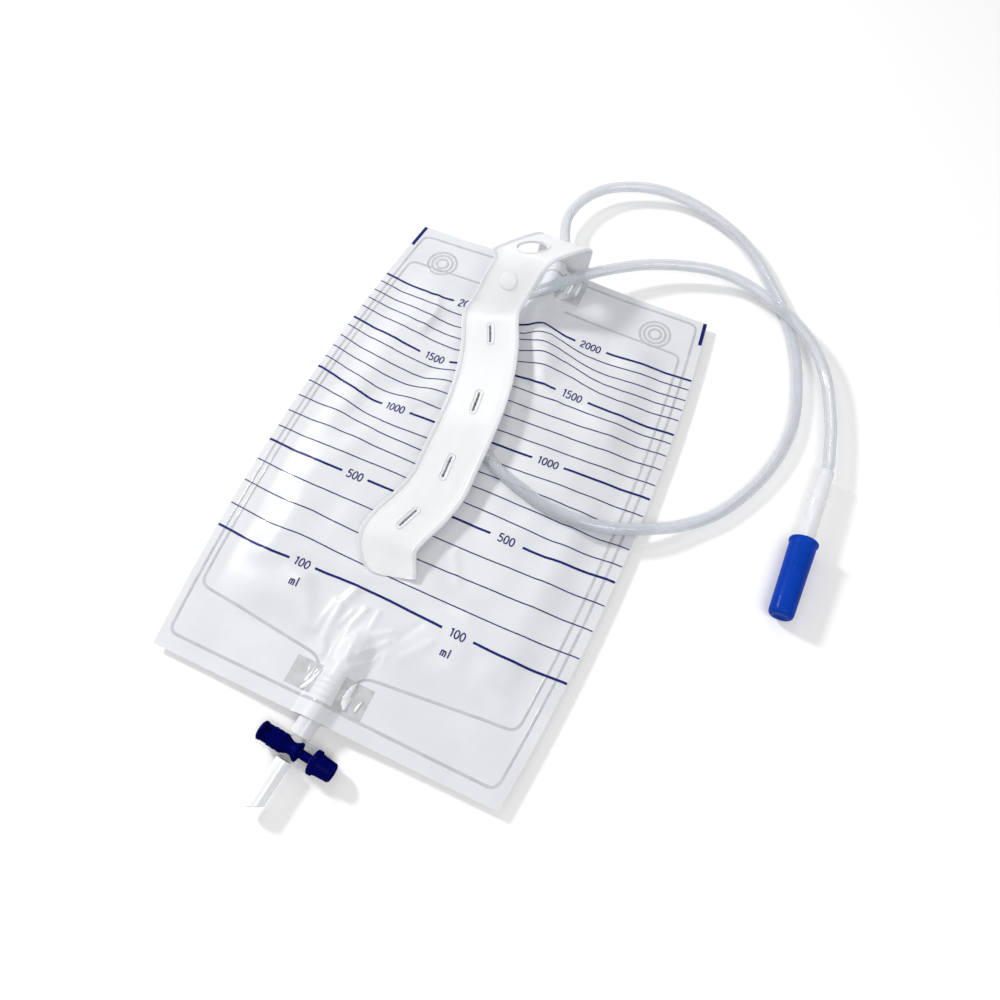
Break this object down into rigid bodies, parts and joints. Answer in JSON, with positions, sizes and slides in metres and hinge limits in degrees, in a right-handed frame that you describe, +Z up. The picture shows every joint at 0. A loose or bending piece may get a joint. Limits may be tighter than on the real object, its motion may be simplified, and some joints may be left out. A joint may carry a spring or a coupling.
{
  "type": "urine drainage bag",
  "caption": "Flat welded drainage bag with a graduated face, a hanger strap, a capped inlet tube and a push-pull drain valve.",
  "frame": {"origin": "on the floor under the middle of the footprint of the bag, valve and strap, without the free tube", "axes": "+Z up from the surface the bag lies on, +Y from the drain valve towards the inlet, +X to the side of the valve's knob"},
  "size_m": [0.3085, 0.4539, 0.0402],
  "materials": {
    "soft_film": "soft translucent film, satin",
    "clear_plastic": "clear moulded plastic",
    "strap_plastic": "milky moulded plastic, satin",
    "valve_blue": "dark blue gloss",
    "cap_blue": "mid blue gloss"
  },
  "bodies": {
    "bag": {"bag_front_film": "soft_film", "bag_back_film": "soft_film", "inlet_port": "soft_film", "anti_reflux_valve": "soft_film", "drain_port": "soft_film", "hanger_strap": "strap_plastic", "inlet_tube": "clear_plastic", "tube_connector": "clear_plastic", "valve_body": "clear_plastic", "outlet_tube": "clear_plastic"},
    "plunger": {"valve_plunger": "valve_blue"},
    "cap": {"connector_cap": "cap_blue"}
  },
  "joints": [
    {"name": "plunger_slide", "type": "slide", "parent": "bag", "child": "plunger", "axis": [0.9965, -0.0837, 0], "range_m": [0, 0.008]},
    {"name": "cap_pull_off", "type": "slide", "parent": "bag", "child": "cap", "axis": [0, -1, 0], "range_m": [0, 0.043]}
  ]
}
